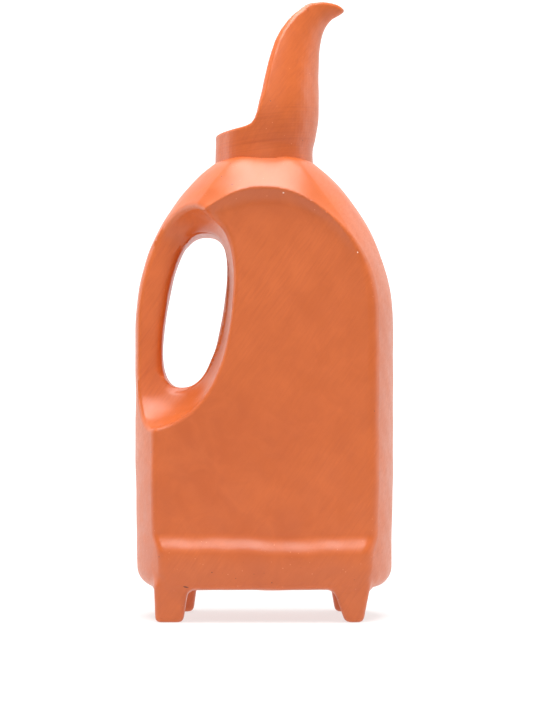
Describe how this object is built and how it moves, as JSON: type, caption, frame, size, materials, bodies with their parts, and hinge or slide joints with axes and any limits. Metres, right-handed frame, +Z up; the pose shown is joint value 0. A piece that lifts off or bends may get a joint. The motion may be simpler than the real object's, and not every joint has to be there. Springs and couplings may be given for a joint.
{
  "type": "pitcher",
  "caption": "Slab-built terracotta pitcher with flat faces, a finger-hole grip, a round neck, a tall open pouring lip and stubby feet.",
  "frame": {"origin": "on the table under the middle of the body, which is the middle of the bounding box's underside", "axes": "+Z up, +X towards the pouring lip and away from the handle, +Y away from the front face"},
  "size_m": [0.155, 0.096, 0.369],
  "materials": {
    "terracotta": "unglazed burnished red clay, satin"
  },
  "bodies": {
    "root": {"front_slab": "terracotta", "rear_slab": "terracotta", "base_slab": "terracotta", "right_side_wall": "terracotta", "left_side_wall": "terracotta", "shoulder": "terracotta", "grip_well_wall": "terracotta", "handle": "terracotta", "neck_collar": "terracotta", "pouring_spout": "terracotta", "front_left_foot": "terracotta", "front_right_foot": "terracotta", "rear_left_foot": "terracotta", "rear_right_foot": "terracotta"}
  },
  "joints": []
}
